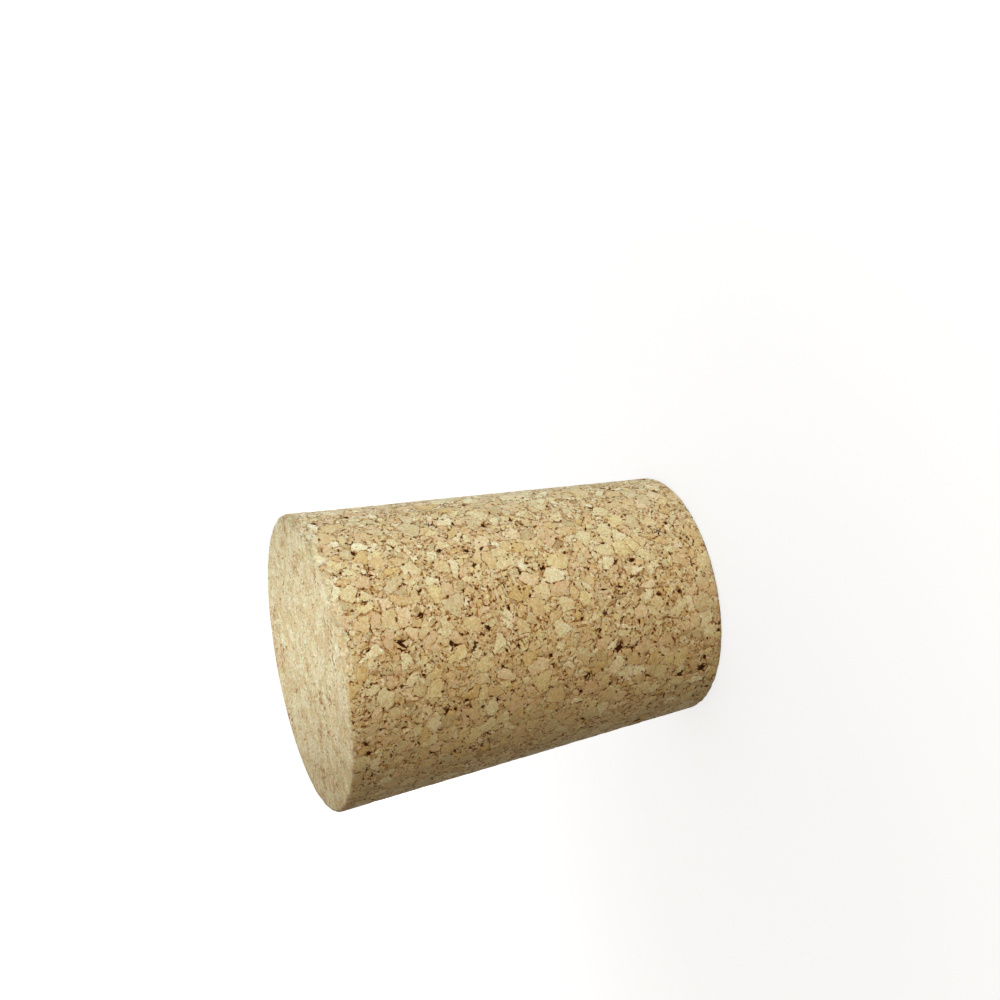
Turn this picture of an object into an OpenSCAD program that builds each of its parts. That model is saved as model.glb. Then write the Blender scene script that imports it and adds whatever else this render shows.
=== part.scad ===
// Tapered cork stopper
//
// One plug of bonded cork granules, ground to a straight taper. Both ends are cut
// square and sanded flat, and their rims are lightly rounded. The stopper stands on
// its small end: the origin is the centre of the foot, and +Z runs up the axis to
// the head. All sizes are in millimetres.

/* [Plug] */
// Diameter of the small end, the foot, which enters the neck first
foot_d = 20; // [14:0.5:30]
// Diameter of the large end, the head, which stays outside the neck
head_d = 24; // [16:0.5:36]
// Length along the axis, from the foot to the head
plug_l = 32; // [20:1:60]

/* [Rims] */
// Rounding of the rim round the foot
foot_rim_r = 0.4; // [0.1:0.1:1.5]
// Rounding of the rim round the head
head_rim_r = 0.3; // [0.1:0.1:1.5]

/* [Hidden] */

// Sides of the round plug, and steps in the arc of a rim
$fn = 180;
rim_steps = 8;

foot_r = foot_d / 2;
head_r = head_d / 2;

// Angle between the wall and the axis
taper = atan((head_r - foot_r) / plug_l);

// Radius of the wall at height z, as if it ran on to both end faces
function wall_r(z) = foot_r + z * tan(taper);

// Centre of a rim's arc of radius r at height z, which leaves the arc touching the wall
function rim_centre(r, z) = [wall_r(z) - r / cos(taper), z];

// Points of an arc, counter-clockwise from angle start to angle end
function arc(centre, r, start, end) = [
    for (step = [0 : rim_steps])
        let (turn = start + (end - start) * step / rim_steps)
            centre + r * [cos(turn), sin(turn)]
];

// Half of the plug's section: the foot, its rim, the wall, the rim of the head and the head
section = concat(
    [[0, 0]],
    arc(rim_centre(foot_rim_r, foot_rim_r), foot_rim_r, -90, -taper),
    arc(rim_centre(head_rim_r, plug_l - head_rim_r), head_rim_r, -taper, 90),
    [[0, plug_l]]
);

module stopper() {
    color("burlywood")
        rotate_extrude()
            polygon(section);
}

stopper();
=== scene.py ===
# %% [markdown]
# # A tapered cork stopper
#
# The real object is one plug, moulded from cork granules and a little glue, ground to a
# straight taper and sanded flat at both ends. The packed model is a smooth solid that holds
# its size. This lesson gives it its surface: granules of many tints, fine brown seams
# between them, open pores where a granule has broken away, and a rim that has crumbled a
# little on one side.
#
# The packed model is loaded first, because the length below is read from it.

import math

import bmesh
import bpy
from mathutils import Matrix, Vector


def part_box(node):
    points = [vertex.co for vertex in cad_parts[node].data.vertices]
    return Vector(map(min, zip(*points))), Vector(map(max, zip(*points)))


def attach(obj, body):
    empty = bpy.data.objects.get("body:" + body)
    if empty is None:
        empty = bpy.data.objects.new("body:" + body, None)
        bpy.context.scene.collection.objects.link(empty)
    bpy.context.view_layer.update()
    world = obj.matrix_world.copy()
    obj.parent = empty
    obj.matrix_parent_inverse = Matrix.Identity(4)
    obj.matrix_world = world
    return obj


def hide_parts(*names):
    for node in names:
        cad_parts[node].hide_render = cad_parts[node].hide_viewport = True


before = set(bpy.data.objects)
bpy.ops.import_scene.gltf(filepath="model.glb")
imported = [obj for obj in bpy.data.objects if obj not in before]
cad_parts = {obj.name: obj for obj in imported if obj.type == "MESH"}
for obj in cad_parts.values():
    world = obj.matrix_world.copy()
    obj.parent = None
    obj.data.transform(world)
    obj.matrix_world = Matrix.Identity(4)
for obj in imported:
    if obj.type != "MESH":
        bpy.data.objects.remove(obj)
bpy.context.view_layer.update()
foot_corner, head_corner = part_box("stopper")
print("packed model", [round(side * 1000, 2) for side in head_corner - foot_corner], "mm")

# %% [markdown]
# ## Sizes
#
# Blender works in metres, but a stopper is easier to think about in millimetres. The length
# comes from the model's own box. The two diameters and the rounding of the rims are the ones
# that the solid was turned to. A rounded rim stays a little inside the full diameter, so the
# box alone doesn't give them.

# %% Name the sizes in millimetres
MM = 0.001
LENGTH = (head_corner.z - foot_corner.z) / MM
FOOT_R = 20 / 2
HEAD_R = 24 / 2
FOOT_RIM = 0.4
HEAD_RIM = 0.3
TAPER = math.atan((HEAD_R - FOOT_R) / LENGTH)
print("length", round(LENGTH, 2), "mm, wall leans", round(math.degrees(TAPER), 2), "degrees")

# %% [markdown]
# ## The flat ends
#
# An end could be one large face, but pores have to open in it later, so it needs many small
# faces of one size. Rings of faces round a centre would get thin and sharp in the middle. A
# square grid that is pressed into a disc has no centre: each square ring of the grid becomes
# a round ring, and its outline has four times as many steps as one side of the grid.

# %% Press a square grid into a round end
GRID = 96  # faces along one side of the grid
AT_CENTRE = 1e-9  # a reach this small is the centre, which lies in no direction


def pressed_round(x, y):
    """The place in a disc for a point of a square, both with a reach of 1."""
    if max(abs(x), abs(y)) < AT_CENTRE:
        return 0.0, 0.0
    if abs(x) > abs(y):
        reach, turn = x, math.pi / 4 * y / x
    else:
        reach, turn = y, math.pi / 2 - math.pi / 4 * x / y
    return reach * math.cos(turn), reach * math.sin(turn)


def flat_end(bm, radius, z):
    """Adds a disc to the mesh and returns the edges of its outline."""
    points = bmesh.ops.create_grid(bm, x_segments=GRID, y_segments=GRID, size=1)["verts"]
    for point in points:
        x, y = pressed_round(point.co.x, point.co.y)
        point.co = Vector((x * radius, y * radius, z)) * MM
    return list({edge for point in points for edge in point.link_edges if edge.is_boundary})


print("faces on each end:", GRID * GRID, "- steps round its outline:", 4 * GRID)

# %% [markdown]
# ## The rims and the wall
#
# Each rim is a quarter round. Its edge loop is extruded a few times, and each new loop is set
# on the arc by its own radius and height. The two last loops, one at each end, are then
# bridged: that is the whole tapered wall in one step. Its upright edges are cut into rings, as
# close together as the faces of the ends, so that the surface has the same fineness all over.

# %% Extrude the rims and bridge the wall
RIM_STEPS = 3
WALL_RINGS = 176
UPRIGHT = 1 * MM  # an edge that climbs more than this runs up the wall


def rim_loops(rim, end_z, toward_wall):
    """Radius and height of each loop of a rim, from the flat end to the wall."""
    centre_z = end_z + toward_wall * rim
    centre_r = FOOT_R + centre_z * math.tan(TAPER) - rim / math.cos(TAPER)
    last = -TAPER if toward_wall > 0 else TAPER
    loops = []
    for step in range(1, RIM_STEPS + 1):
        turn = math.pi / 2 * (1 - step / RIM_STEPS) + last * step / RIM_STEPS
        radius = centre_r + rim * math.cos(turn)
        loops.append((radius, centre_z - toward_wall * rim * math.sin(turn)))
    return centre_r, loops


def turned_end(bm, rim, end_z, toward_wall):
    """A flat end with its rim, and the edges that the wall starts from."""
    radius, loops = rim_loops(rim, end_z, toward_wall)
    edges = flat_end(bm, radius, end_z)
    for new_radius, z in loops:
        grown = bmesh.ops.extrude_edge_only(bm, edges=edges)["geom"]
        points = [part for part in grown if isinstance(part, bmesh.types.BMVert)]
        grow = Matrix.Diagonal((new_radius / radius, new_radius / radius, 1))
        bmesh.ops.transform(bm, matrix=grow.to_4x4(), verts=points)
        for point in points:
            point.co.z = z * MM
        edges = [part for part in grown if isinstance(part, bmesh.types.BMEdge)]
        edges = [edge for edge in edges if edge.is_boundary]
        radius = new_radius
    return edges


bm = bmesh.new()
foot_edges = turned_end(bm, FOOT_RIM, 0, 1)
head_edges = turned_end(bm, HEAD_RIM, LENGTH, -1)
bridge = bmesh.ops.bridge_loops(bm, edges=foot_edges + head_edges)
uprights = [e for e in bridge["edges"] if abs(e.verts[0].co.z - e.verts[1].co.z) > UPRIGHT]
bmesh.ops.subdivide_edges(bm, edges=uprights, cuts=WALL_RINGS - 1, use_grid_fill=True)
bmesh.ops.recalc_face_normals(bm, faces=bm.faces)
open_edges = sum(not edge.is_manifold for edge in bm.edges)
print(len(bm.faces), "faces,", len(bridge["faces"]), "strips in the wall,", open_edges, "open")

# %% [markdown]
# ## Two kinds of place
#
# A pattern that is drawn on the finished surface would slide down into the pores once they
# open. So each point keeps its place on the ground, still closed surface as an attribute, and
# the granules are drawn from that. The second kind of place is a flat map, for whoever paints
# or bakes the surface later: the wall unrolled in two halves, with the two ends beside them.

# %% Keep the ground surface's places and lay out the flat map
MAP_SIDE = 66  # millimetres across the flat map
MAP_GAP = 0.6  # millimetres between its pieces
END_NORMAL = 0.7  # a face whose normal is more upright than this belongs to an end


def turn_of(place):
    """How far round the axis a place lies, from 0 to 1."""
    return (math.atan2(place.y, place.x) / (2 * math.pi)) % 1


def wall_spot(place, back):
    """Spot of a wall point on the flat map, in millimetres; the back half lies above."""
    turn = turn_of(place)
    if back and turn < 0.25:
        turn += 1
    along = (turn - 0.5 * back) * 2 * math.pi * HEAD_R
    return MAP_GAP + along, MAP_GAP + back * (LENGTH + MAP_GAP) + place.z / MM


def end_spot(place, head):
    """Spot of a point of an end on the flat map; the head lies above the foot."""
    x = 2 * MAP_GAP + math.pi * HEAD_R + HEAD_R
    y = (3 * MAP_GAP + 2 * FOOT_R + HEAD_R) if head else MAP_GAP + FOOT_R
    side = 1 if head else -1
    return x + side * place.x / MM, y + place.y / MM


flat_map = bm.loops.layers.uv.new("OFBake")
for face in bm.faces:
    middle = face.calc_center_median()
    on_end = abs(face.normal.z) > END_NORMAL
    back = turn_of(middle) >= 0.5
    for loop in face.loops:
        place = loop.vert.co
        spot = end_spot(place, middle.z > 0.5 * LENGTH * MM) if on_end else wall_spot(place, back)
        loop[flat_map].uv = [length / MAP_SIDE for length in spot]
spots = [loop[flat_map].uv for face in bm.faces for loop in face.loops]
print("flat map reaches", [round(max(spot[axis] for spot in spots), 3) for axis in (0, 1)])

mesh = bpy.data.meshes.new("cork_stopper")
bm.to_mesh(mesh)
bm.free()
mesh.polygons.foreach_set("use_smooth", [True] * len(mesh.polygons))
ground = mesh.attributes.new("ground_place", "FLOAT_VECTOR", "POINT")
for point, kept in zip(mesh.vertices, ground.data):
    kept.vector = point.co / MM
stopper = bpy.data.objects.new("cork_stopper", mesh)
bpy.context.scene.collection.objects.link(stopper)
print("points that keep their ground place:", len(ground.data))

# %% [markdown]
# ## A small kit for nodes
#
# The same pattern is needed twice. Geometry nodes sink the pores and seams into the mesh, and
# the material's nodes colour them. Both kinds of tree share their maths, noise and Voronoi
# nodes, so one set of functions can draw the pattern in either, and the two always agree.

# %% Helpers that add nodes to a tree
HALF = (0.5, 0.5, 0.5)
WHOLE = (1.0, 1.0, 1.0)


class Board:
    """A node tree, with short ways to add nodes to it."""

    def __init__(self, tree):
        self.tree = tree

    def node(self, kind, inputs=None, **settings):
        """Adds a node. Each input is a plain value or another node's output."""
        made = self.tree.nodes.new(kind)
        for name, value in settings.items():
            setattr(made, name, value)
        for name, value in (inputs or {}).items():
            self.feed(made.inputs[name], value)
        return made

    def feed(self, socket, value):
        """Links another node's output to the socket, or sets a plain value on it."""
        if isinstance(value, bpy.types.NodeSocket):
            self.tree.links.new(value, socket)
        else:
            socket.default_value = value

    def math(self, operation, first, second=0.0, third=0.0):
        inputs = {0: first, 1: second, 2: third}
        return self.node("ShaderNodeMath", inputs, operation=operation).outputs[0]

    def plus(self, first, second):
        return self.math("ADD", first, second)

    def minus(self, first, second):
        return self.math("SUBTRACT", first, second)

    def times(self, first, second):
        return self.math("MULTIPLY", first, second)

    def most(self, first, second):
        return self.math("MAXIMUM", first, second)

    def vector(self, operation, first, second):
        inputs = {0: first, 1: second}
        return self.node("ShaderNodeVectorMath", inputs, operation=operation).outputs[0]

    def measure(self, operation, first, second=(0.0, 0.0, 0.0)):
        """A number made from vectors: LENGTH of the first, or DOT_PRODUCT of both."""
        inputs = {0: first, 1: second}
        return self.node("ShaderNodeVectorMath", inputs, operation=operation).outputs["Value"]

    def scaled(self, vector, factor):
        inputs = {0: vector, "Scale": factor}
        return self.node("ShaderNodeVectorMath", inputs, operation="SCALE").outputs[0]

    def parts(self, vector):
        """The three numbers of a vector or a colour."""
        return self.node("ShaderNodeSeparateXYZ", {0: vector}).outputs

    def ramp(self, value, low, high, at_low=0.0, at_high=1.0):
        """Eases from at_low to at_high as value goes from low to high, which may be the smaller."""
        inputs = {"Value": value, 1: low, 2: high, 3: at_low, 4: at_high}
        return self.node("ShaderNodeMapRange", inputs, interpolation_type="SMOOTHSTEP").outputs[0]

    def choose(self, share, first, second):
        """first where share is 0, second where it is 1."""
        return self.node("ShaderNodeMix", {0: share, 2: first, 3: second}).outputs[0]

    def choose_vector(self, share, first, second):
        """The same for vectors."""
        inputs = {0: share, 4: first, 5: second}
        return self.node("ShaderNodeMix", inputs, data_type="VECTOR").outputs[1]

    def blend(self, share, first, second, way="MIX"):
        """The same for colours."""
        inputs = {0: share, 6: first, 7: second}
        made = self.node("ShaderNodeMix", inputs, data_type="RGBA", blend_type=way)
        return made.outputs[2]

    def noise(self, place, size, detail=0.0, roughness=0.5, output=0):
        """Noise whose patches are about size millimetres across, mostly from 0.3 to 0.7."""
        inputs = {"Vector": place, "Scale": 1 / size, "Detail": detail, "Roughness": roughness}
        return self.node("ShaderNodeTexNoise", inputs).outputs[output]

    def drift(self, place, size, detail, roughness=0.5):
        """Three such noises in one vector, moved so that they lie round zero."""
        return self.vector("SUBTRACT", self.noise(place, size, detail, roughness, "Color"), HALF)

    def crumbs(self, place, size, feature="F1"):
        """What is known of cells about size millimetres across."""
        inputs = {"Vector": place, "Scale": 1 / size}
        return self.node("ShaderNodeTexVoronoi", inputs, feature=feature).outputs


print("helpers on a board:", sum(not name.startswith("_") for name in vars(Board)))

# %% [markdown]
# ## The granules
#
# Ground cork is a mix of crumbs of several sizes, pressed until they touch. A Voronoi pattern
# gives touching crumbs of one size. Three of them are nested here: some of the large crumbs
# are split into middle ones, and some of those into small ones. Each crumb carries random
# numbers for its tint, and each point knows how far it is from the nearest seam. The place is
# bent by noise first, so no crumb keeps the straight sides of a Voronoi cell.

# %% Nest three sizes of granule
CRUMB_SIZES = (1.15, 0.72, 0.42)
SPLIT_SHARE = (0.56, 0.40)  # share of the large and of the middle crumbs that are split
# Size and reach, in millimetres, of the bends that squeeze, curve and fray the granules.
BENDS = ((2.4, 0.55), (0.7, 0.18), (0.25, 0.04))
FLAKE_SIZE = 0.40
FLAKE_SHIFT = (9.0, 4.0, 7.0)  # moves the flakes' cells off the granules' own
FAR = 9.0  # stands for a seam that is too far away to matter


def wandering(board, place, size, reach):
    """The place, moved by noise up to reach millimetres."""
    return board.vector("ADD", place, board.scaled(board.drift(place, size, 1.0), 2 * reach))


def granules(board, place):
    """What each point knows of its granule: the distance in millimetres to the nearest seam
    and to the nearest one between larger granules, three random numbers, how far a granule
    that lies askew is sunk here, and the number of the thin flake that lies on top."""
    bent = place
    for size, reach in BENDS:
        bent = wandering(board, bent, size, reach)
    seam = coarse_seam = tint = middle = inside = None
    for level, size in enumerate(CRUMB_SIZES):
        cell = board.crumbs(bent, size)
        edge = board.times(board.crumbs(bent, size, "DISTANCE_TO_EDGE")["Distance"], size)
        if level == 0:
            seam, tint, middle = edge, cell["Color"], cell["Position"]
            inside = board.math("LESS_THAN", board.parts(tint)[0], SPLIT_SHARE[0])
            continue
        coarse_seam = seam
        seam = board.math("MINIMUM", seam, board.choose(inside, FAR, edge))
        tint = board.blend(inside, tint, cell["Color"])
        middle = board.choose_vector(inside, middle, cell["Position"])
        if level < len(SPLIT_SHARE):
            split = board.math("LESS_THAN", board.parts(cell["Color"])[0], SPLIT_SHARE[level])
            inside = board.times(inside, split)
    lean = board.vector("SUBTRACT", tint, HALF)
    tilt = board.measure("DOT_PRODUCT", lean, board.vector("SUBTRACT", bent, middle))
    flakes = board.crumbs(board.vector("ADD", bent, FLAKE_SHIFT), FLAKE_SIZE)
    return {"seam": seam, "coarse_seam": coarse_seam, "tint": tint, "tilt": tilt,
            "flake": board.parts(flakes["Color"])[0]}


print("granules of", CRUMB_SIZES, "mm, bent by up to", max(reach for _, reach in BENDS), "mm")

# %% [markdown]
# ## Sanded ends and a crumbled rim
#
# The ends are sanded finer than the wall is ground, and the finish reaches a little way round
# the rims, to a ragged border. On one side the head's rim has crumbled: its corner is gone,
# and a narrow slope of clean cork shows instead. Points near the corner are all moved the same
# way, inwards and down, by half of what is missing. So the slope is even, and no point passes
# another, which would fold the mesh.

# %% Find the sanded ends and the crumbled rim
END_DEPTH = 0.22  # how far from an end face the sanded finish reaches at most, in millimetres
END_ALWAYS = (0.03, 0.005)  # the end itself has it all over, up to this far from its face
RAGGED = 0.25  # how far the finish's border wanders
BORDER_LUMP = 0.6  # size of the lumps in that border
CHIP_REACH = 0.95  # how far from the corner the rim has crumbled, at most
CHIP_LEAST = 0.10  # the same where it has kept best
CHIP_LUMP = 1.3
LUMP_NOISE = (0.36, 0.64)  # the noise that stands for the least and for the most
CHIP_EDGE = 0.05  # width over which the clean cork of the slope sets in
CHIPPED_SIDE = (0.60, -0.80, 0.0)  # direction from the axis
CHIPPED_FROM, CHIPPED_FULL = 6.5, 11.0  # how far toward that side the crumbling sets in
CHIPPED_ELSEWHERE = 0.30  # share of it on the rest of the rim


def sanded_share(board, place, height):
    """1 on the sanded ends, 0 on the ground wall."""
    from_end = board.math("MINIMUM", height, board.minus(LENGTH, height))
    wander = board.times(board.noise(place, BORDER_LUMP, 2.0), RAGGED)
    near_end = board.ramp(board.plus(from_end, wander), END_DEPTH, 0.5 * END_DEPTH)
    return board.most(near_end, board.ramp(from_end, *END_ALWAYS))


def crumbled_rim(board, place, height):
    """1 where the head's corner has crumbled away, and the move in millimetres that it takes."""
    flat = board.vector("MULTIPLY", place, (1.0, 1.0, 0.0))
    radius = board.measure("LENGTH", flat)
    from_corner = board.minus(board.minus(HEAD_R + LENGTH, radius), height)
    toward = board.measure("DOT_PRODUCT", place, CHIPPED_SIDE)
    toward = board.ramp(toward, CHIPPED_FROM, CHIPPED_FULL, CHIPPED_ELSEWHERE, 1.0)
    lumps = board.noise(place, CHIP_LUMP, 3.0, 0.6)
    lumps = board.ramp(lumps, *LUMP_NOISE, CHIP_LEAST, CHIP_REACH)
    gone = board.most(board.minus(board.times(lumps, toward), from_corner), 0.0)
    outward = board.scaled(flat, board.math("DIVIDE", 1.0, board.most(radius, 1.0)))
    slope = board.vector("ADD", outward, (0.0, 0.0, 1.0))
    return board.ramp(gone, 0.0, CHIP_EDGE), board.scaled(slope, board.times(gone, 0.5))


print("the rim crumbles up to", CHIP_REACH, "mm toward", CHIPPED_SIDE)

# %% [markdown]
# ## Pores
#
# A pore opens round a random spot and reaches farther along the seams than into a granule,
# which gives the small arrowhead gaps that cork is known by. The more it is pinched to the
# seams, the more it becomes a crack. Dark bark lines its edge and stains the granules round
# it. On the sanded ends, dust fills most of it.

# %% Open the pores
OPENINGS = (
    # spacing, share that opens, reach and pinch to the seams
    (3.2, 0.50, 0.55, 2.8),
    (0.62, 0.50, 0.31, 2.4),
    (1.7, 0.32, 0.55, 7.0),
)
LEFT_OPEN = 0.3  # share of its reach that a pore keeps on a sanded end
CLOSED = 0.01  # a pore with no more reach than this has no lining
PORE_EDGE = 0.05  # width of a pore's slope
LINING_WIDTH = 0.07
STAIN_SPREAD = 1.7  # reach of the stain round a pore, in reaches of the pore
STAIN_SHARE = 0.5  # how strong that stain is beside the stain of glue


def opening(board, place, seam, kind, sanded):
    """How open one kind of pore is, from 0 to 1, its brown lining, and the stain round it."""
    spacing, share, reach, pinch = kind
    spot = board.crumbs(place, spacing)
    lot = board.parts(spot["Color"])[0]
    rim = board.ramp(lot, 1 - share, 1.0, 0.0, reach)
    rim = board.times(rim, board.choose(sanded, 1.0, LEFT_OPEN))
    away = board.plus(board.times(spot["Distance"], spacing), board.times(seam, pinch))
    open_share = board.ramp(away, rim, board.minus(rim, PORE_EDGE))
    lining = board.ramp(away, board.plus(rim, LINING_WIDTH), rim)
    lining = board.times(lining, board.math("GREATER_THAN", rim, CLOSED))
    return open_share, lining, board.ramp(away, board.times(rim, STAIN_SPREAD), rim)


def all_pores(board, place, seam, sanded):
    """The same for all kinds of pore together."""
    pore, lining, stain = 0.0, 0.0, 0.0
    for kind in OPENINGS:
        open_share, lined, stained = opening(board, place, seam, kind, sanded)
        pore = board.most(open_share, pore)
        lining = board.most(lined, lining)
        stain = board.most(stained, stain)
    return pore, lining, board.times(stain, STAIN_SHARE)


print("kinds of pore:", len(OPENINGS))

# %% [markdown]
# ## Seams, specks and bark dust
#
# Seams show only in places, where glue and darker bark lie between the crumbs, so a fine noise
# sets how wide and how plain each stretch of seam is. Tiny round specks are the ends of
# the cork's own breathing channels. Grains of bark dust cling to the seams, each with a brown
# fringe.

# %% Draw the seams, specks and dust
GLUE_SHOWS = (0.49, 0.60)  # the glue noise at which a seam starts to show, and shows in full
GLUE_WIDENS = (0.50, 0.72)  # and at which it starts to widen, and is widest
LINE_WIDTHS = (0.045, 0.080)  # from a seam's middle to its edge, narrowest and widest
LINE_CORE = 0.30  # share of a seam's width where it is plainest
FINE_LINE = 0.40  # how plain the seams of the smallest granules are
LINE_LEAST, LINE_GAIN = 0.14, 0.68  # how plain a seam is without glue, and what glue adds
SANDED_GLUE = 0.30  # share of the glue that still shows on a sanded end
GLUED_EDGE = 0.13  # how far from a seam its glue stains the granule
SPECK_SPACING = 0.45
SPECK_REACH = 0.10
SPECK_LOTS = 0.66  # share of the spots that stay without a speck
SPECK_EDGE = 0.045
HALO_SPREAD, HALO_SHARE = 1.5, 0.25  # reach, in reaches of the speck, and strength of its brown
DUST_SIZE = 0.26
DUST_GRAINS = (0.645, 0.665)  # the dust noise at which a grain starts, and is full
DUST_FRINGE = (0.57, 0.645)
GRAINS_NEAR = (0.12, 0.07)  # distance from a seam at which grains run out, and lie in full
FRINGE_NEAR = (0.18, 0.09)
FRINGE_SHARE = 0.8
SANDED_DUST = 0.2  # share of the dust that is left on a sanded end


def glue_lines(board, cork, glue, sanded):
    """The seams that show, and the stain of the glue beside them."""
    glued = board.times(board.ramp(glue, *GLUE_SHOWS), board.choose(sanded, 1.0, SANDED_GLUE))
    width = board.ramp(glue, *GLUE_WIDENS, *LINE_WIDTHS)
    core = board.times(width, LINE_CORE)
    fine = board.ramp(cork["seam"], width, core, 0.0, FINE_LINE)
    line = board.most(fine, board.ramp(cork["coarse_seam"], width, core))
    shown = board.math("MULTIPLY_ADD", glued, LINE_GAIN, board.choose(sanded, LINE_LEAST, 0.0))
    return board.times(line, shown), board.times(board.ramp(cork["seam"], GLUED_EDGE, 0.0), glued)


def channel_specks(board, place):
    """The dark ends of the channels, and the brown round them."""
    spot = board.crumbs(place, SPECK_SPACING)
    reach = board.ramp(board.parts(spot["Color"])[1], SPECK_LOTS, 1.0, 0.0, SPECK_REACH)
    away = board.times(spot["Distance"], SPECK_SPACING)
    speck = board.ramp(away, reach, board.minus(reach, SPECK_EDGE))
    return speck, board.ramp(away, board.times(reach, HALO_SPREAD), reach, 0.0, HALO_SHARE)


def bark_dust(board, place, seam, sanded):
    """Dark grains along the seams, and the brown fringe round them."""
    dust = board.noise(place, DUST_SIZE, 1.0)
    rough = board.choose(sanded, 1.0, SANDED_DUST)
    near = board.times(board.ramp(seam, *GRAINS_NEAR), rough)
    around = board.times(board.ramp(seam, *FRINGE_NEAR), rough)
    grains = board.times(board.ramp(dust, *DUST_GRAINS), near)
    return grains, board.times(board.ramp(dust, *DUST_FRINGE, 0.0, FRINGE_SHARE), around)


print("specks up to", 2 * SPECK_REACH, "mm across, seams", LINE_WIDTHS, "mm to each side")

# %% [markdown]
# ## The whole pattern
#
# All of it is gathered in one function, which the mesh and the colours both call. Where two
# kinds of brown meet, or two kinds of dark, the stronger one is kept, so they don't add up.

# %% Gather the pattern
GLUE_SIZE = 0.30
GLUE_DARKENS = (0.61, 0.68)  # the glue noise at which brown starts to turn black, and is black
RIM_MIDDLE = 0.17  # how far below the head's face the middle of its rounded rim lies
RIM_BAND = (0.17, 0.05)  # how far from there the rim's browning fades out and is full


def cork_pattern(board, place):
    """All the fields of the cork's surface, for a place in millimetres."""
    cork = granules(board, place)
    height = board.parts(place)[2]
    chipped, bite = crumbled_rim(board, place, height)
    sanded = board.most(sanded_share(board, place, height), chipped)
    pore, lining, stain = all_pores(board, place, cork["coarse_seam"], sanded)
    glue = board.noise(place, GLUE_SIZE, 3.0, 0.65)
    line, glued_edge = glue_lines(board, cork, glue, sanded)
    speck, halo = channel_specks(board, place)
    grains, fringe = bark_dust(board, place, cork["seam"], sanded)
    from_rim = board.math("ABSOLUTE", board.minus(height, LENGTH - RIM_MIDDLE))
    cork.update(
        sanded=sanded,
        chipped=chipped,
        bite=bite,
        pore=pore,
        line=line,
        lining=board.most(board.most(lining, halo), fringe),
        stain=board.most(stain, glued_edge),
        speck=board.most(speck, grains),
        dark=board.ramp(glue, *GLUE_DARKENS),
        at_rim=board.ramp(from_rim, *RIM_BAND),
    )
    return cork


print("rim wear is centred", RIM_MIDDLE, "mm below the head's face")

# %% [markdown]
# ## Sink the pattern into the mesh
#
# Bump shading alone leaves a smooth outline and flat pores, and a mesh that is saved for
# another program would lose it. So the points themselves are moved inwards along their
# normals by geometry nodes, and the modifier is then applied. Points move inwards only, which
# keeps the plug inside its true size.

# %% Move the points
PORE_DEPTH = 0.20
LINE_DEPTH = 0.02
HEAVE = 0.03  # how much deeper than the highest granules the lowest lie
TILT = 0.12  # how steeply a granule that lies askew sinks, as a share of its lean
SANDED_HEAVE = 0.1  # share of that unevenness which sanding leaves


def sink_pattern(piece):
    """Moves the piece's points inwards where its pattern says so."""
    tree = bpy.data.node_groups.new("open_the_cork", "GeometryNodeTree")
    for way in ("INPUT", "OUTPUT"):
        tree.interface.new_socket("Geometry", in_out=way, socket_type="NodeSocketGeometry")
    board = Board(tree)
    kept = {"Name": "ground_place"}
    place = board.node("GeometryNodeInputNamedAttribute", kept, data_type="FLOAT_VECTOR").outputs[0]
    cork = cork_pattern(board, place)
    depth = board.times(cork["pore"], PORE_DEPTH)
    depth = board.most(depth, board.times(cork["line"], LINE_DEPTH))
    lift = board.times(board.parts(cork["tint"])[2], HEAVE)
    uneven = board.most(board.plus(board.times(cork["tilt"], TILT), lift), 0.0)
    uneven = board.times(uneven, board.choose(cork["sanded"], 1.0, SANDED_HEAVE))
    depth = board.plus(depth, uneven)
    normal = board.node("GeometryNodeInputNormal").outputs[0]
    inwards = board.scaled(normal, board.times(depth, -MM))
    inwards = board.vector("SUBTRACT", inwards, board.scaled(cork["bite"], MM))
    start, end = board.node("NodeGroupInput"), board.node("NodeGroupOutput")
    moved = board.node("GeometryNodeSetPosition", {"Geometry": start.outputs[0], "Offset": inwards})
    board.feed(end.inputs[0], moved.outputs[0])
    piece.modifiers.new("open_the_cork", "NODES").node_group = tree
    bpy.context.view_layer.objects.active = piece
    bpy.ops.object.modifier_apply(modifier="open_the_cork")


sink_pattern(stopper)
ground = stopper.data.attributes["ground_place"].data
moves = [(Vector(kept.vector) - p.co / MM).length for p, kept in zip(stopper.data.vertices, ground)]
print("the farthest move is", round(max(moves), 3), "mm")

# %% [markdown]
# ## The cork colours
#
# Every granule takes its tint from a short row of cork colours: mostly tan, some cream or
# pinkish, a few ochre or grey. Each tint has a share of the row, by how often it should turn
# up, and a random number from 0 to 1 picks one. Two small tools then work on any colour: one
# shifts its tint by fine noise, and one makes it lighter or darker in the way of cork, which
# gets paler with light and redder with dark.

# %% Mix the tints
TINTS = (
    (0.000, (0.584, 0.456, 0.256)),
    (0.140, (0.576, 0.429, 0.230)),
    (0.260, (0.552, 0.446, 0.266)),
    (0.380, (0.620, 0.517, 0.309)),
    (0.500, (0.572, 0.419, 0.247)),
    (0.620, (0.624, 0.504, 0.274)),
    (0.710, (0.663, 0.573, 0.373)),
    (0.790, (0.639, 0.501, 0.314)),
    (0.860, (0.479, 0.375, 0.210)),
    (0.910, (0.562, 0.409, 0.193)),
    (0.955, (0.708, 0.625, 0.428)),
    (0.977, (0.392, 0.272, 0.144)),
)
RED_CURVE, BLUE_CURVE = 0.55, 1.6  # how strongly red and blue follow a change of light


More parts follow.
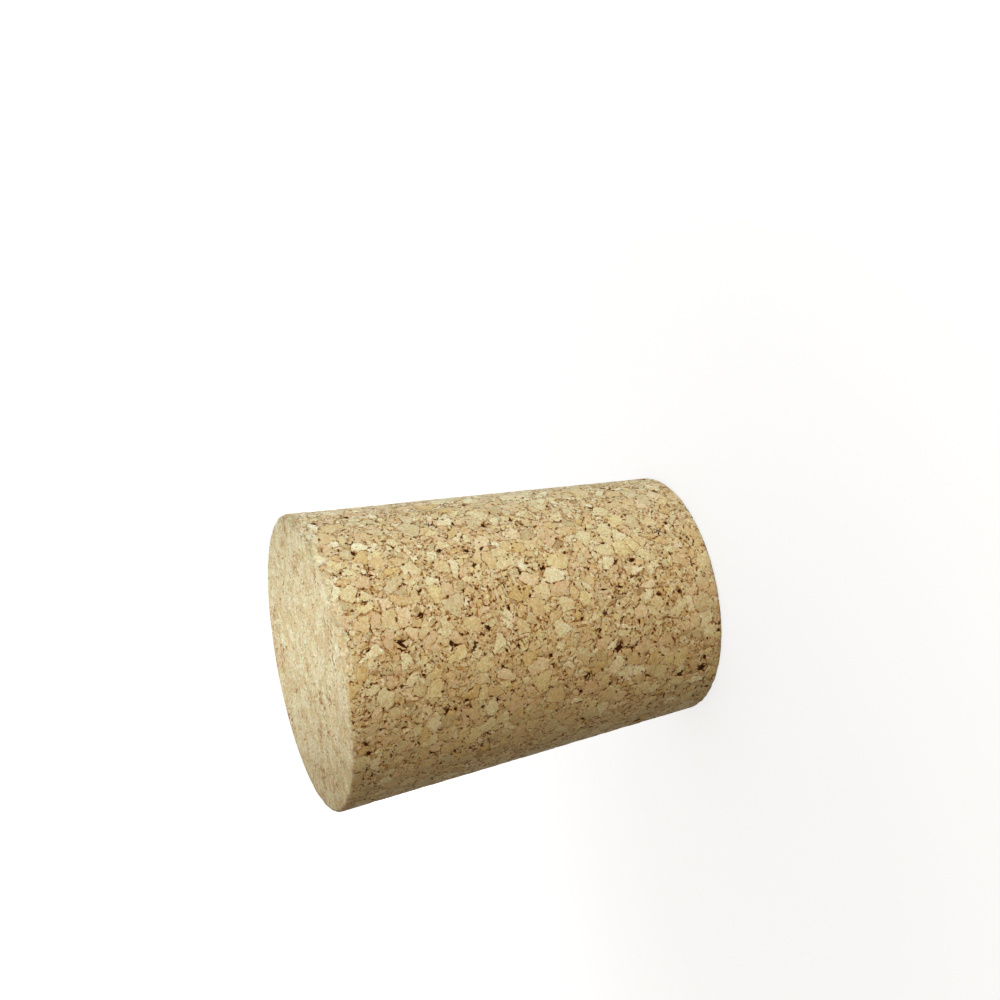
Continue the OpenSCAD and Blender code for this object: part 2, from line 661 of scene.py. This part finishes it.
def granule_tint(board, cork):
    """One colour from the row of tints for each granule."""
    row = board.node("ShaderNodeValToRGB", {0: board.parts(cork["tint"])[1]})
    row.color_ramp.interpolation = "CONSTANT"
    stops = row.color_ramp.elements
    stops.remove(stops[1])
    for index, (at, colour) in enumerate(TINTS):
        stop = stops[0] if index == 0 else stops.new(at)
        stop.position = at
        stop.color = (*colour, 1)
    return row.outputs[0]


def tinted(board, colour, place, size, amount):
    """The colour, shifted in tint by noise: a little redder here, a little greener there."""
    cast = board.scaled(board.drift(place, size, 2.0, 0.8), amount)
    return board.blend(1.0, colour, board.vector("ADD", cast, WHOLE), "MULTIPLY")


def toned(board, colour, light):
    """The colour, made lighter or darker. Lighter cork is also paler, and darker cork redder."""
    red, blue = board.math("POWER", light, RED_CURVE), board.math("POWER", light, BLUE_CURVE)
    tone = board.node("ShaderNodeCombineXYZ", {0: red, 1: light, 2: blue}).outputs[0]
    return board.blend(1.0, colour, tone, "MULTIPLY")


print("tints in the row:", len(TINTS))

# %% [markdown]
# ## The ground wall
#
# The wall shows the granules as they were cut. Each has a fine grain, faint growth lines, and
# in places a pale edge that is partly wear and partly a painted highlight, and glue and bark have
# stained it brown. A granule that lies askew is also painted lighter on one side and darker on
# the other, as painted shading. Most of this changes only how light the cork is, so it is added
# up as light first and turned into colour once. Where a ramp reads noise, its first two numbers
# say between which values of the noise the change lies: numbers far apart give a soft change,
# and numbers close together a sharp edge.

# %% Colour the wall
LINE_BROWN = (0.350, 0.125, 0.014, 1)
STAIN_BROWN = (0.460, 0.205, 0.042, 1)
# painted shade: the near-black inside open pores, also used where a seam turns black
PAINTED_HOLLOW_SHADE = (0.040, 0.010, 0.002, 1)
WALL_LINE, WALL_STAIN = 0.85, 0.44  # how strongly seams and stains colour the wall
GRAIN_LIGHT = (0.79, 1.19)  # light of the darkest and of the palest grain
# painted shading: a granule that lies askew is lighter on one side and darker on the other
PAINTED_TILT_SHADING = 0.16
GROWTH_LIGHT, GROWTH_LINES = 0.03, 60.0  # strength of the growth lines, and how dense they are
FLAKE_LIGHT = 0.14
# a pale edge along some seams: partly wear, partly painted highlight
WEAR_AND_HIGHLIGHT_LIGHT, WEAR_AND_HIGHLIGHT_SIZE = 0.14, 0.5
WEAR_AND_HIGHLIGHT_BAND = (0.14, 0.08)  # distance from a seam at which the pale edge, partly wear and partly painted highlight, ends, and is full
GRAIN_TINT, GRAIN_TINT_SIZE = 0.60, 0.17
RIM_BROWNING = (0.35, 0.10)  # how strongly the band round the head's rim is browned, on dark and on pale grain


def granule_colour(board, cork, tint, place, grain):
    """The wall: granules of many tints, with pale edges that are partly wear and partly painted
    highlight, and brown seams.
    """
    wear_and_highlight = board.ramp(board.noise(place, WEAR_AND_HIGHLIGHT_SIZE, 1.0), 0.50, 0.66)
    band = board.times(board.ramp(cork["seam"], *WEAR_AND_HIGHLIGHT_BAND), wear_and_highlight)
    growth = board.math("SINE", board.times(cork["tilt"], GROWTH_LINES))
    light = board.ramp(grain, 0.30, 0.70, *GRAIN_LIGHT)
    # painted shading of each granule's tilt
    light = board.math("MULTIPLY_ADD", cork["tilt"], PAINTED_TILT_SHADING, light)
    light = board.math("MULTIPLY_ADD", growth, GROWTH_LIGHT, light)
    # painted highlight along the seams, partly wear
    light = board.math("MULTIPLY_ADD", band, WEAR_AND_HIGHLIGHT_LIGHT, light)
    light = board.math("MULTIPLY_ADD", board.minus(cork["flake"], 0.5), FLAKE_LIGHT, light)
    colour = toned(board, tinted(board, tint, place, GRAIN_TINT_SIZE, GRAIN_TINT), light)
    colour = board.blend(board.times(cork["stain"], WALL_STAIN), colour, STAIN_BROWN)
    # where the glue noise is high, a seam turns black with the same painted shade
    brown = board.blend(cork["dark"], LINE_BROWN, PAINTED_HOLLOW_SHADE)
    colour = board.blend(board.times(cork["line"], WALL_LINE), colour, brown)
    rim_browned = board.times(cork["at_rim"], board.ramp(grain, 0.35, 0.65, *RIM_BROWNING))
    return board.blend(rim_browned, colour, STAIN_BROWN)


print("grain changes the wall's light from", GRAIN_LIGHT[0], "to", GRAIN_LIGHT[1])

# %% [markdown]
# ## The sanded ends
#
# The ends are rubbed with pale dust, so the granules only show through. The belt that sanded
# them ran along Y, and it has drawn the dust and the brown marks out a little that way. That
# is done by squeezing the place along Y before their noise reads it. Brown comes in two kinds:
# fine crumbs strewn nearly everywhere, and larger marks that keep together in clusters.

# %% Colour the ends
SANDED_CREAM = (0.730, 0.582, 0.332, 1)
SANDED_BROWN = (0.260, 0.105, 0.022, 1)
SHOWS_THROUGH = 0.35  # share of a granule's own tint in the colour of the dust
FINE_SMEAR = (1.0, 0.36, 1.0)  # how much each direction is squeezed
BROAD_SMEAR = (1.0, 0.80, 1.0)
PATCH_SIZE, PATCH_LIGHT = 1.2, (1.12, 0.83)  # light where the noise is low, and where it is high
DUSTING_SIZE, DUSTING_LIGHT = 0.20, (0.86, 1.14)
BROAD_SHIFT, FINE_SHIFT = (1.1, 0.18), (0.34, 0.26)  # size and strength of the shifts in tint
END_LINE, END_STAIN = 0.80, 0.35  # how strongly seams and stains colour the ends
CRUMB_SIZE, CRUMB_BROWN = 0.26, 0.92
STREWN_SIZE, STREWN_LEAST = 1.5, 0.10
MARK_SIZE, MARK_BROWN = 0.38, 0.85
CLUSTER_SIZE = 2.4


def dust_colour(board, tint, fine, broad):
    """The pale dust itself, in soft patches and fine streaks."""
    patch = board.ramp(board.noise(broad, PATCH_SIZE, 3.0, 0.70), 0.38, 0.62, *PATCH_LIGHT)
    dusting = board.noise(fine, DUSTING_SIZE, 1.0, 0.6)
    dusting = board.ramp(dusting, 0.30, 0.70, *DUSTING_LIGHT)
    colour = board.blend(SHOWS_THROUGH, SANDED_CREAM, tint)
    colour = tinted(board, tinted(board, colour, broad, *BROAD_SHIFT), fine, *FINE_SHIFT)
    return toned(board, colour, board.times(patch, dusting))


def sanded_colour(board, cork, tint, place):
    """The ends: dust, with seams, crumbs and marks of brown showing through it."""
    fine = board.vector("MULTIPLY", place, FINE_SMEAR)
    broad = board.vector("MULTIPLY", place, BROAD_SMEAR)
    colour = dust_colour(board, tint, fine, broad)
    colour = board.blend(board.times(cork["stain"], END_STAIN), colour, STAIN_BROWN)
    colour = board.blend(board.times(cork["line"], END_LINE), colour, SANDED_BROWN)
    crumb = board.noise(fine, CRUMB_SIZE, 2.0, 0.7)
    crumb = board.ramp(crumb, 0.605, 0.640, 0.0, CRUMB_BROWN)
    strewn = board.ramp(board.noise(place, STREWN_SIZE, 2.0), 0.42, 0.60, STREWN_LEAST, 1.0)
    colour = board.blend(board.times(crumb, strewn), colour, SANDED_BROWN)
    mark = board.ramp(board.noise(broad, MARK_SIZE, 2.0, 0.6), 0.52, 0.60, 0.0, MARK_BROWN)
    cluster = board.ramp(board.noise(place, CLUSTER_SIZE, 1.0), 0.56, 0.68)
    return board.blend(board.times(mark, cluster), colour, SANDED_BROWN)


print("the belt drew fine dust out to", round(1 / FINE_SMEAR[1], 1), "times its width")

# %% [markdown]
# ## The cork finish
#
# The two colours meet where the sanding ends. Brown linings come next, then specks, and the
# painted shade of the open pores lies over all. Cork is matt, with a faint soft sheen where it is
# seen along the surface. A bump adds what is finer than the mesh: the grain of each granule, and
# the small steps from one granule and flake to the next.

# %% Mix the cork material
SPECK_BROWN = (0.045, 0.012, 0.003, 1)
CHIP_SHADE = (0.91, 0.96, 1.06, 1)  # a crumbled place is this much less red than a sanded end
LINING_COVER, SPECK_COVER = 0.85, 0.90
GRAIN_SIZE = 0.19
ROUGHNESS = (0.70, 0.86)
BUMP_STRENGTH = 0.8
BUMP_HEIGHT = 0.10  # millimetres; the next four values are multiples of it
GRAIN_RISE, GRANULE_STEP, FLAKE_STEP, TILT_RISE = 0.6, 0.55, 0.25, 1.8
SANDED_STEP = 0.12  # share of the steps that sanding leaves


def fine_relief(board, cork, grain):
    """The height of everything that is finer than the mesh."""
    hollow = board.most(cork["line"], cork["pore"])
    height = board.minus(board.times(grain, GRAIN_RISE), hollow)
    step = board.times(cork["flake"], FLAKE_STEP)
    step = board.math("MULTIPLY_ADD", board.parts(cork["tint"])[2], GRANULE_STEP, step)
    step = board.math("MULTIPLY_ADD", cork["tilt"], TILT_RISE, step)
    return board.math("MULTIPLY_ADD", step, board.choose(cork["sanded"], 1.0, SANDED_STEP), height)


def cork_material():
    """Ground and sanded cork, drawn on the ground surface's places."""
    finish = bpy.data.materials.new("ground_cork")
    finish.use_nodes = True
    board = Board(finish.node_tree)
    surface = finish.node_tree.nodes["Principled BSDF"]
    place = board.node("ShaderNodeAttribute", attribute_name="ground_place").outputs["Vector"]
    cork = cork_pattern(board, place)
    grain = board.noise(place, GRAIN_SIZE, 2.0, 0.8)

    tint = granule_tint(board, cork)
    colour = granule_colour(board, cork, tint, place, grain)
    colour = board.blend(cork["sanded"], colour, sanded_colour(board, cork, tint, place))
    colour = board.blend(cork["chipped"], colour, CHIP_SHADE, "MULTIPLY")
    colour = board.blend(board.times(cork["lining"], LINING_COVER), colour, LINE_BROWN)
    colour = board.blend(board.times(cork["speck"], SPECK_COVER), colour, SPECK_BROWN)
    # painted shade inside the open pores
    colour = board.blend(cork["pore"], colour, PAINTED_HOLLOW_SHADE)
    board.feed(surface.inputs["Base Color"], colour)

    board.feed(surface.inputs["Roughness"], board.ramp(grain, 0.3, 0.7, *ROUGHNESS))
    surface.inputs["Specular IOR Level"].default_value = 0.08
    surface.inputs["Sheen Weight"].default_value = 0.36
    surface.inputs["Sheen Roughness"].default_value = 0.22
    surface.inputs["Sheen Tint"].default_value = (0.85, 0.95, 1.0, 1)
    bump = {"Strength": BUMP_STRENGTH, "Distance": BUMP_HEIGHT * MM,
            "Height": fine_relief(board, cork, grain)}
    board.feed(surface.inputs["Normal"], board.node("ShaderNodeBump", bump).outputs[0])
    return finish


stopper.data.materials.append(cork_material())
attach(stopper, "root")
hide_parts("stopper")
print("nodes in the cork finish:", len(stopper.data.materials[0].node_tree.nodes))

# %% [markdown]
# ## The floor
#
# The stopper stands on its small end on a wide, plain, pale floor. The floor looks white to
# the camera by a little glow of its own, which only the camera and reflections see, and not by
# more light, so nothing on the stopper gets brighter. The glow is weaker close to the stopper,
# where its soft shadow falls, so that the shadow still shows.

# %% Lay the floor
FLOOR_SIDE = 6.0  # metres
FLOOR_GREY = (0.26, 0.27, 0.30, 1)
GLOW_NEAR, GLOW_FAR = 20, 110  # millimetres from the stopper's axis
GLOW_LEAST, GLOW_MOST = 0.77, 0.93


def seen_plainly(board):
    """1 where the camera, a reflection or a see-through thing looks, 0 for all other light."""
    seen = board.node("ShaderNodeLightPath").outputs
    plain = board.most(seen["Is Camera Ray"], seen["Is Glossy Ray"])
    return board.most(plain, seen["Is Transmission Ray"])


mesh = bpy.data.meshes.new("floor")
bm = bmesh.new()
bmesh.ops.create_grid(bm, x_segments=1, y_segments=1, size=FLOOR_SIDE / 2)
bm.to_mesh(mesh)
bm.free()
floor = bpy.data.objects.new("floor", mesh)
bpy.context.scene.collection.objects.link(floor)

paint = bpy.data.materials.new("white_floor")
paint.use_nodes = True
board = Board(paint.node_tree)
surface = paint.node_tree.nodes["Principled BSDF"]
surface.inputs["Base Color"].default_value = FLOOR_GREY
surface.inputs["Roughness"].default_value = 0.9
away = board.measure("LENGTH", board.node("ShaderNodeTexCoord").outputs["Object"])
shine = board.ramp(away, GLOW_NEAR * MM, GLOW_FAR * MM, GLOW_LEAST, GLOW_MOST)
glow = board.node("ShaderNodeEmission", {"Strength": board.times(seen_plainly(board), shine)})
both = board.node("ShaderNodeAddShader", {0: surface.outputs[0], 1: glow.outputs[0]})
board.feed(paint.node_tree.nodes["Material Output"].inputs[0], both.outputs[0])
floor.data.materials.append(paint)
print("floor", FLOOR_SIDE, "m wide, glowing", GLOW_LEAST, "to", GLOW_MOST)

# %% [markdown]
# ## The sky
#
# A plain, dim, warm sky reaches every side of the stopper and keeps the shadows open.
# Like the floor, it looks white to the camera without lighting the stopper any more.

# %% Hang the sky
SKY_COLOUR = (1.0, 0.785, 0.465, 1)
SKY_STRENGTH = 0.30

world = bpy.data.worlds.new("plain_sky")
bpy.context.scene.world = world
world.use_nodes = True
board = Board(world.node_tree)
plain_view = seen_plainly(board)
sky = world.node_tree.nodes["Background"]
board.feed(sky.inputs["Color"], board.blend(plain_view, SKY_COLOUR, (*WHOLE, 1)))
board.feed(sky.inputs["Strength"], board.choose(plain_view, SKY_STRENGTH, 1.0))
print("sky strength", SKY_STRENGTH)

# %% [markdown]
# ## The lamps
#
# Soft strip lamps stand round the stopper, all a little less tall than it is. Each lights a
# side of the wall evenly from foot to head, and none of them reaches the flat head. A cool one
# and a warm one in front give the wall its roundness, and two nearly white ones stand behind.
# The side without a lamp has only the sky, and stays darker. The head has a long cool lamp of
# its own, close above it and a little to one side, so it fades softly across.

# %% Light the wall with strips and the head from above
STRIP_AWAY = 120  # millimetres from the axis
STRIP_WIDE, STRIP_TALL = 110, 24
STRIPS = (
    # name, degrees round from the front toward the right, watts and colour
    ("cool_side", 65, 0.097, (0.67, 0.85, 1.00)),
    ("warm_front", 15, 0.077, (1.00, 0.87, 0.60)),
    ("behind", 140, 0.063, (0.92, 1.00, 0.99)),
    ("far_side", 180, 0.061, (1.00, 0.93, 0.80)),
)
HEAD_LAMP_PLACE = Vector((3.2, 0, LENGTH + 11))
HEAD_LAMP_WIDE, HEAD_LAMP_LONG = 18, 60
HEAD_LAMP_WATTS = 0.0066
HEAD_LAMP_COLOUR = (0.74, 0.87, 1.00)


def soft_lamp(name, wide, tall, watts, colour, place, turn):
    """A rectangular lamp that the camera doesn't see; sizes and place in millimetres."""
    lamp = bpy.data.lights.new(name, "AREA")
    lamp.shape = "RECTANGLE"
    lamp.size, lamp.size_y = wide * MM, tall * MM
    lamp.energy = watts
    lamp.color = colour
    holder = bpy.data.objects.new(name, lamp)
    holder.location = place * MM
    holder.rotation_euler = turn
    holder.visible_camera = False
    bpy.context.scene.collection.objects.link(holder)


for name, degrees, watts, colour in STRIPS:
    out = Vector((math.sin(math.radians(degrees)), -math.cos(math.radians(degrees)), 0))
    place = out * STRIP_AWAY + Vector((0, 0, LENGTH / 2))
    facing_in = out.to_track_quat("Z", "Y").to_euler()
    soft_lamp(name, STRIP_WIDE, STRIP_TALL, watts, colour, place, facing_in)
soft_lamp("head_light", HEAD_LAMP_WIDE, HEAD_LAMP_LONG, HEAD_LAMP_WATTS, HEAD_LAMP_COLOUR,
          HEAD_LAMP_PLACE, (0, 0, 0))
print("lamps:", len(bpy.data.lights))

# %% [markdown]
# ## The camera
#
# The camera looks slightly down at the stopper from in front, and is rolled by a good quarter
# turn, so that the stopper seems to lie on its side with the head toward the viewer. Turning
# the camera shows it that way without moving the stopper off its place. A rather long lens
# keeps the taper from looking stronger than it is.

# %% Place the camera
CAMERA_DISTANCE = 138.43 * MM
CAMERA_HEIGHT_ANGLE = math.radians(19.19)
CAMERA_ROLL = math.radians(99.57)
AIM = Vector((10.154, -1.581, 13.876)) * MM  # the place in the middle of the view
FOCAL_LENGTH, SENSOR_WIDTH = 60, 36

lens = bpy.data.cameras.new("camera")
lens.lens = FOCAL_LENGTH
lens.sensor_width = SENSOR_WIDTH
lens.clip_start = 5 * MM
camera = bpy.data.objects.new("camera", lens)
bpy.context.scene.collection.objects.link(camera)
bpy.context.scene.camera = camera
middle = Vector((0, 0, LENGTH / 2)) * MM
back = Vector((0, -math.cos(CAMERA_HEIGHT_ANGLE), math.sin(CAMERA_HEIGHT_ANGLE)))
camera.location = middle + back * CAMERA_DISTANCE
level = (AIM - camera.location).to_track_quat("-Z", "Y").to_matrix()
camera.rotation_euler = (level @ Matrix.Rotation(-CAMERA_ROLL, 3, "Z")).to_euler()
bpy.context.scene.view_settings.view_transform = "Standard"
print("camera up", [round(part, 3) for part in camera.rotation_euler.to_matrix().col[1]])

# %% [markdown]
